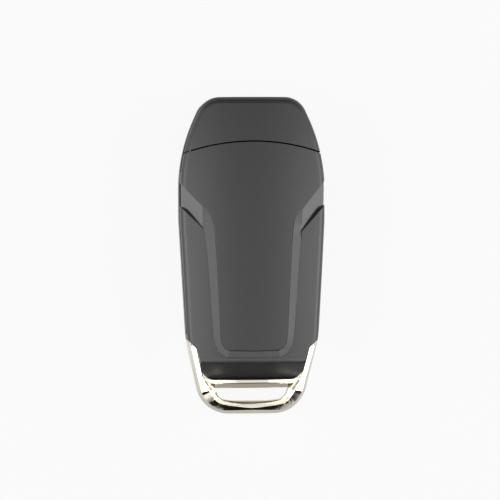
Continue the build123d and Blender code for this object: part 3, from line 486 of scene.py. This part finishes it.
def strapShell(values):
    # the band from tip to tip: each section runs inwards, square to the outline
    begin, tip = values["start"]
    way = evenPoints(roundedPath(values["outline"], values["outlineRadii"]), values["fineCount"])
    way = evenPoints(way[way[:, 1] < begin], values["fineCount"])
    share = np.linspace(0, 1, len(way))
    chosen = np.linspace(share[np.argmax(way[:, 1] < tip)], 1, values["count"])
    outer = np.stack([np.interp(chosen, share, way[:, k]) for k in (0, 1)], axis=1)
    inward = np.stack([np.interp(chosen, share, -sideways(way)[:, k]) for k in (0, 1)], axis=1)
    inward[-1] = (0, 1)
    inside = roundedPath(values["inside"], values["insideRadii"])
    inside = np.concatenate([inside, [(-1.0, inside[-1, 1])]])  # a little past the middle
    width = np.clip(reachTo(outer, inward, inside), *values["width"])
    rim, facet, fall, bevel, bevelDrop = [
        eased(chosen, values["share"], values[key])
        for key in ("rim", "facet", "fall", "bevel", "bevelDrop")
    ]
    nothing = np.zeros_like(width)
    lip = np.minimum(values["lip"], width / 4)
    facet = np.minimum(facet, np.maximum(width - bevel - rim - values["crest"], values["leastFacet"]))
    across = np.stack([
        width / 2, lip, nothing, nothing, rim, rim + facet, width - bevel, width, width, width - lip,
    ], axis=1)
    spots = outer[:, None] + inward[:, None] * np.minimum(across, width[:, None])[..., None]
    top = loopTop(values, spots[..., 0], spots[..., 1])
    z = np.full_like(across, values["front"])
    z[:, [2, 8]] = values["front"] + values["lipRise"]
    narrow = np.minimum(1, width / (rim + facet))
    z[:, 4] = top[:, 4] - fall * narrow
    z[:, 3] = z[:, 4] - np.minimum(rim, width) * values["rimRise"]
    z[:, [5, 6]] = top[:, [5, 6]]
    z[:, 7] = top[:, 7] - bevelDrop * narrow
    return mirroredLoop(np.concatenate([spots, z[..., None]], axis=2))


# bar under the chin: places across it from the cover's edge, and their depth below the rear surface
# (None is its front face); it sinks into the arms at both ends
barShape = {
    "path": [(13.0, -27.8), (12.6, -31.9), (0.0, -31.9)],
    "radii": [3.1],
    "count": 48,
    "across": [-0.09, -0.09, 0.0, 0.0, 0.2, 0.85, 1.2, 2.4, 2.4],
    "drop": [None, 3.3, 3.1, 0.5, 0.08, 0.08, 0.5, 3.2, None],
    "front": 2.05,
    "sink": [1.3, 0.5, 0.0],
    "sinkAt": [0.0, 0.4, 0.75],
}


def barShell(values, loop):
    # its section follows the cover's edge: rear surface less drop and sink
    spots = evenPoints(roundedPath(values["path"], values["radii"]), values["count"])
    outward = -sideways(spots)
    outward *= np.sign(outward @ np.array([1.0, -1.0]))[:, None]
    outward[-1] = (0, -1)
    sink = np.interp(np.linspace(0, 1, len(spots)), values["sinkAt"], values["sink"])
    flat = spots[:, None] + outward[:, None] * np.array(values["across"])[None, :, None]
    drop = np.array([0.0 if d is None else d for d in values["drop"]])
    z = loopTop(loop, flat[..., 0], spots[:, 1][:, None]) - drop - sink[:, None]
    z[:, [k for k, d in enumerate(values["drop"]) if d is None]] = values["front"]
    return mirroredLoop(np.concatenate([flat, z[..., None]], axis=2))


# screw lugs: place, hole's middle and radius, and the tongue's ends, half width and two heights
lugShape = {
    "x": 7.5, "hole": (-28.3, 0.85), "yEnds": (-33.0, -25.8), "half": 2.5, "z": (2.9, 4.4), "count": 48,
}


def lugShell(values, side):
    # a flat tongue with a screw hole: rings of points from the hole out to its rectangle
    turn = np.linspace(0, 2 * np.pi, values["count"], endpoint=False)
    holeY, holeRadius = values["hole"]
    low, high = values["yEnds"]
    x, y = np.cos(turn), np.sin(turn)
    reachX = values["half"] / np.maximum(np.abs(x), nearZero)
    reachY = np.where(y > 0, high - holeY, holeY - low) / np.maximum(np.abs(y), nearZero)
    rim = np.minimum(reachX, reachY)
    reach = np.stack([np.full_like(turn, holeRadius)] * 2 + [rim] * 2)
    heights = np.array(values["z"])[[0, 1, 1, 0], None] + np.zeros_like(turn)
    grid = np.stack([side * values["x"] + reach * x, holeY + reach * y, heights], axis=2)
    return grid * mm, gridFaces(*grid.shape[:2], wrapRows=True, wrapColumns=True)


def loopCasting(values):
    # one casting: the shells run into each other and share one small edge radius
    shells = [strapShell(values), barShell(barShape, values), lugShell(lugShape, -1), lugShell(lugShape, 1)]
    casting = newPiece("keyringCasting", *joinShells(shells), nickel, "case", "nickel")
    turnOutwards(casting)
    casting.data.shade_smooth()  # the bevel below makes its edges, so that none stays sharp
    edge = casting.modifiers.new("edge", "BEVEL")
    edge.width = values["edge"] * mm
    edge.segments = values["edgeSegments"]
    edge.limit_method = "ANGLE"
    edge.angle_limit = math.radians(values["edgeAngle"])
    level = casting.modifiers.new("level", "WEIGHTED_NORMAL")
    level.weight = values["flatWeight"]
    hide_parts("keyring_loop")


loopCasting(loopShape)
print("stage: metal loop cast")


# spring inside the release button, in millimetres; the real one shortens by the button's travel, this one
# keeps one length
springShape = {
    "centre": (-8.5, 29.0), "radius": 3.4, "wire": 0.4, "turns": 4, "z": (2.1, 6.3),
    "top": 6.7, "keep": 0.72, "turnSteps": 48, "wireSides": 10,
}


def coilSpring(values):
    # wire wound round a cylinder: its height grows evenly with the turn
    turn = np.linspace(0, 2 * np.pi * values["turns"], values["turnSteps"] * values["turns"] + 1)
    outward = np.stack([np.cos(turn), np.sin(turn), np.zeros_like(turn)], axis=1)
    line = np.array([*values["centre"], 0.0]) + values["radius"] * outward
    line[:, 2] = np.linspace(*values["z"], len(turn))
    way = np.gradient(line, axis=0)
    over = np.cross(way / np.linalg.norm(way, axis=1)[:, None], outward)
    around = np.linspace(0, 2 * np.pi, values["wireSides"], endpoint=False)[None, :, None]
    section = np.cos(around) * outward[:, None] + np.sin(around) * over[:, None]
    grid = line[:, None] + values["wire"] * section
    faces = tubeFaces(*grid.shape[:2])
    spring = newPiece("releaseSpring", grid * mm, faces, fastenerSteel, "blade", "steel")
    turnOutwards(spring)
    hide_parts("flip_spring")
    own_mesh(spring)


coilSpring(springShape)
print("stage: release spring wound")


def arcPoints(centre, radius, first, last, count=24):
    # points on an arc between two angles in degrees
    turn = np.radians(np.linspace(first, last, count))
    return np.array(centre) + radius * np.stack([np.cos(turn), np.sin(turn)], axis=1)


def closedOutline(corners, radius, count=120):
    # rounded corners all round: the path starts and ends in the middle of one side
    middle = (np.array(corners[0]) + np.array(corners[-1])) / 2
    return evenPoints(roundedPath([middle, *corners, middle], [radius] * len(corners)), count)[:-1]


# printed signs, in millimetres from each key's middle: lines, and whether each is closed
padlockBody = closedOutline([(-1.4, 0.2), (-1.4, -1.7), (1.4, -1.7), (1.4, 0.2)], 0.3)
shutShackle = np.concatenate([[(-0.85, 0.2)], arcPoints((0, 0.8), 0.85, 180, 0), [(0.85, 0.2)]])
openShackle = np.concatenate([[(-0.85, 0.2)], arcPoints((0, 1.15), 0.85, 180, 0)])
carBody = closedOutline([
    (-3.2, -0.9), (-3.2, 0.0), (-1.9, 0.3), (-1.0, 1.15), (0.8, 1.15), (1.7, 0.3), (2.5, 0.2), (2.6, -0.9),
], 0.25)
openLid = evenPoints(np.array([(1.1, 1.3), (3.1, 2.1)]), 8)
hornBody = closedOutline([
    (-2.3, -0.5), (-2.3, 0.5), (-1.3, 0.5), (0.2, 1.4), (0.2, -1.4), (-1.3, -0.5),
], 0.25)
keySigns = {
    "lineWidth": 0.36,
    "z": (0.138, 0.162),
    "step": 0.002,  # each line lies this much above the one before, so that no two faces coincide
    "lines": {
        "lock": [(padlockBody, True), (shutShackle, False)],
        "unlock": [(padlockBody, True), (openShackle, False)],
        "trunk": [
            (carBody, True), (openLid, False),
            (arcPoints((-1.9, -1.05), 0.55, 0, 345), True), (arcPoints((1.4, -1.05), 0.55, 0, 345), True),
        ],
        "panic": [
            (hornBody, True),
            (arcPoints((0, 0), 1.5, -40, 40), False), (arcPoints((0, 0), 2.5, -40, 40), False),
        ],
    },
}


def linePlate(points, closed, width, z):
    # a flat ribbon: the line moved half its width to both sides, at two heights
    side = sideways(points, closed) * width / 2
    grid = np.stack([
        np.concatenate([points + sign * side, np.full((len(points), 1), height)], axis=1)
        for sign, height in ((1, z[0]), (1, z[1]), (-1, z[1]), (-1, z[0]))
    ], axis=1)
    if closed:
        return grid, gridFaces(*grid.shape[:2], wrapRows=True, wrapColumns=True)
    return grid, tubeFaces(*grid.shape[:2])


def printSign(key, values):
    # the keys look down, so that each sign is mirrored to read the right way from there
    heights = np.array(values["z"])
    plates = [
        linePlate(points, closed, values["lineWidth"], heights - values["step"] * k)
        for k, (points, closed) in enumerate(values["lines"][key])
    ]
    low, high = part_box(key + "_button")
    middle = np.array([low[0] + high[0], low[1] + high[1], 0.0]) / 2
    points, faces = joinShells(plates)
    points = points * np.array([-1, 1, 1]) * mm + middle
    turnOutwards(newPiece(key + "Sign", points, faces, signLacquer, key + "_key", "key_plastic"))


for keyName in keySigns["lines"]:
    printSign(keyName, keySigns)
print("stage: signs printed on the keys")


floorValues = {
    "half": 3.0, "drop": 0.02 * mm,  # metres
    "colour": "#c8c8c6", "roughness": 0.9, "grain": 1.0 * mm, "depth": 0.01 * mm, "edge": 0.0,
    "shadow": 0.15, "shine": 1.07,  # to the camera: share of real shading, and how bright the rest is
    "fadeY": (-0.075, -0.052), "fade": (0.01, 0.7),  # to mirrors: lengthwise
    "flankX": (0.013, 0.03), "flanks": (1.0, 1.6),  # and sideways
}


def paleFloor(values):
    # a flat sheet under the fob: its camera colour is near white and keeps a faint shadow
    half = values["half"]
    corners = [(-half, -half, 0), (half, -half, 0), (half, half, 0), (-half, half, 0)]
    mesh = bpy.data.meshes.new("floor")
    mesh.from_pydata(corners, [], [(0, 1, 2, 3)])
    floor = bpy.data.objects.new("floor", mesh)
    bpy.context.collection.objects.link(floor)
    floor.location.z = -values["drop"]
    material, tree, place = newMaterial("matteWhiteSheet")
    surface = addNode(tree, "BsdfPrincipled", {
        "Base Color": srgb(values["colour"]), "Roughness": values["roughness"],
        "Normal": grainBump(tree, place, values)[1],
    })
    # mirrored rays see it grey near the fob, paler beside it, and fading into the dark beyond the loop
    rays = addNode(tree, "LightPath").outputs
    camera, glossy = rays["Is Camera Ray"], rays["Is Glossy Ray"]
    x, y = addNode(tree, "SeparateXYZ", {0: place}).outputs[:2]
    across = addNode(tree, "Math", {0: x}, operation="ABSOLUTE")
    seen = glossy
    for value, (start, end), (first, last) in (
        (y, values["fadeY"], values["fade"]), (across, values["flankX"], values["flanks"]),
    ):
        fade = addNode(tree, "MapRange", {
            "Value": value, "From Min": start, "From Max": end, "To Min": first, "To Max": last,
        })
        seen = addNode(tree, "Math", {0: seen, 1: fade}, operation="MULTIPLY")
    strength = addNode(tree, "Math", {0: camera, 1: values["shine"], 2: seen}, operation="MULTIPLY_ADD")
    shine = addNode(tree, "Emission", {"Color": (1.0, 1.0, 1.0, 1.0), "Strength": strength})
    lit = addNode(tree, "Math", {0: camera, 1: 1 - values["shadow"]}, operation="MULTIPLY")
    share = addNode(tree, "Math", {0: lit, 1: glossy}, operation="MAXIMUM")
    mixed = addNode(tree, "MixShader", {0: share, 1: surface, 2: shine})
    addNode(tree, "OutputMaterial", {"Surface": mixed})
    mesh.materials.append(material)


# studio: an even fill for the surfaces, and a sky that only mirrors see; each fade has a name, the part
# of the ray's direction that it follows, two limits, and its strength at each, a number or an earlier fade
worldValues = {
    "fill": 0.3,
    "lean": 0.05,  # the bright flanks lie this far off the middle
    "drop": 0.65,  # how fast the edge of the dark low down drops towards the sides
    "fades": [
        ("low", "level", (0.46, 0.6), 0.01, 2.4),  # black low down beyond the loop, a box above it
        ("tail", "y", (-0.75, -0.5), "low", 1.15),  # plain ceiling overhead
        ("sky", "y", (0.1, 0.75), "tail", 0.35),  # dim towards the head
        ("waist", "z", (0.45, 0.6), 1.4, 0.4),  # flanks: bright low down, dim half way up
        ("upper", "z", (0.7, 0.82), "waist", 2.9),  # and brightest near the top
        ("heights", "z", (0.08, 0.25), 0.0, "upper"),
        ("flanks", "aside", (0.22, 0.6), 0.0, "heights"),
        ("towardsHead", "y", (0.0, 0.35), 1.0, 0.1),  # flanks fade towards the head
    ],
}


def studioWorld(values):
    # mirrored strength is sky * (1 + flanks * towardsHead); the camera sees plain white behind
    world = bpy.data.worlds.new("studio")
    bpy.context.scene.world = world
    world.use_nodes = True
    tree = world.node_tree
    tree.nodes.clear()
    direction = addNode(tree, "TexCoord").outputs["Generated"]
    x, y, z = addNode(tree, "SeparateXYZ", {0: direction}).outputs
    off = addNode(tree, "Math", {0: x, 1: values["lean"]}, operation="SUBTRACT")
    aside = addNode(tree, "Math", {0: off}, operation="ABSOLUTE")
    width = addNode(tree, "Math", {0: x}, operation="ABSOLUTE")
    level = addNode(tree, "Math", {0: width, 1: values["drop"], 2: z}, operation="MULTIPLY_ADD")
    parts = {"y": y, "z": z, "aside": aside, "level": level}
    fades = {}
    for name, part, limits, first, last in values["fades"]:
        fades[name] = addNode(tree, "MapRange", {
            "Value": parts[part], "From Min": limits[0], "From Max": limits[1],
            "To Min": fades.get(first, first), "To Max": fades.get(last, last),
        }, interpolation_type="SMOOTHSTEP")
    sides = {0: fades["flanks"], 1: fades["towardsHead"], 2: 1.0}
    sides = addNode(tree, "Math", sides, operation="MULTIPLY_ADD")
    mirrored = addNode(tree, "Math", {0: fades["sky"], 1: sides}, operation="MULTIPLY")
    rays = addNode(tree, "LightPath").outputs
    mirrorRay = {0: rays["Is Glossy Ray"], 1: rays["Is Transmission Ray"]}
    mirrorRay = addNode(tree, "Math", mirrorRay, operation="ADD", use_clamp=True)
    seen = addNode(tree, "Mix", {0: mirrorRay, 2: values["fill"], 3: mirrored})  # 2 and 3: its numbers
    strength = addNode(tree, "Math", {0: seen, 1: rays["Is Camera Ray"]}, operation="MAXIMUM")
    back = addNode(tree, "Background", {"Color": (1.0, 1.0, 1.0, 1.0), "Strength": strength})
    addNode(tree, "OutputWorld", {"Surface": back})


# square soft boxes that face the fob: places and size in metres, power in watts
softBoxes = {
    "places": {"leftBox": (-0.45, 0.0, 0.21), "rightBox": (0.45, 0.0, 0.21)}, "size": 0.34, "power": 0.8,
}


def softBox(name, place, values):
    light = bpy.data.lights.new(name, "AREA")
    light.energy = values["power"]
    light.size = values["size"]
    lamp = bpy.data.objects.new(name, light)
    bpy.context.collection.objects.link(lamp)
    lamp.location = place
    lamp.rotation_euler = Vector(place).to_track_quat("Z", "Y").to_euler()


# the photograph looks down from a little to the left: angles in degrees, distance in metres, picture and
# centre in pixels, scale in pixels per millimetre at the level of the rear cover's middle
cameraValues = {
    "lean": 4.8, "roll": 0.35, "distance": 0.7, "picture": 500, "scale": 3.854, "centre": (251.4, 256.0),
    "level": 7.2 * mm, "sensor": 36.0, "nearest": 0.01,
}


def photoCamera(values):
    # the lens follows from distance and scale, so that the picture is as wide as the sensor
    lean = math.radians(values["lean"])
    right = Vector((math.cos(lean), 0, math.sin(lean)))
    up = Vector((0, 1, 0))
    back = right.cross(up)
    right = Matrix.Rotation(math.radians(-values["roll"]), 3, back) @ right
    up = back.cross(right)
    pixel = mm / values["scale"]
    middle = values["picture"] / 2
    shiftX, shiftY = (middle - values["centre"][0]) * pixel, (values["centre"][1] - middle) * pixel
    target = Vector((0, 0, values["level"])) + right * shiftX + up * shiftY
    camera = bpy.data.cameras.new("camera")
    camera.sensor_width = values["sensor"]
    camera.lens = values["sensor"] * values["distance"] / (values["picture"] * pixel)
    camera.clip_start = values["nearest"]
    stand = bpy.data.objects.new("camera", camera)
    bpy.context.collection.objects.link(stand)
    turn = Matrix((right, up, back)).transposed().to_4x4()
    stand.matrix_world = Matrix.Translation(target + back * values["distance"]) @ turn
    bpy.context.scene.camera = stand


paleFloor(floorValues)
studioWorld(worldValues)
for boxName, boxPlace in softBoxes["places"].items():
    softBox(boxName, boxPlace, softBoxes)
photoCamera(cameraValues)
bpy.context.scene.view_settings.view_transform = "Standard"
print("stage: studio set")
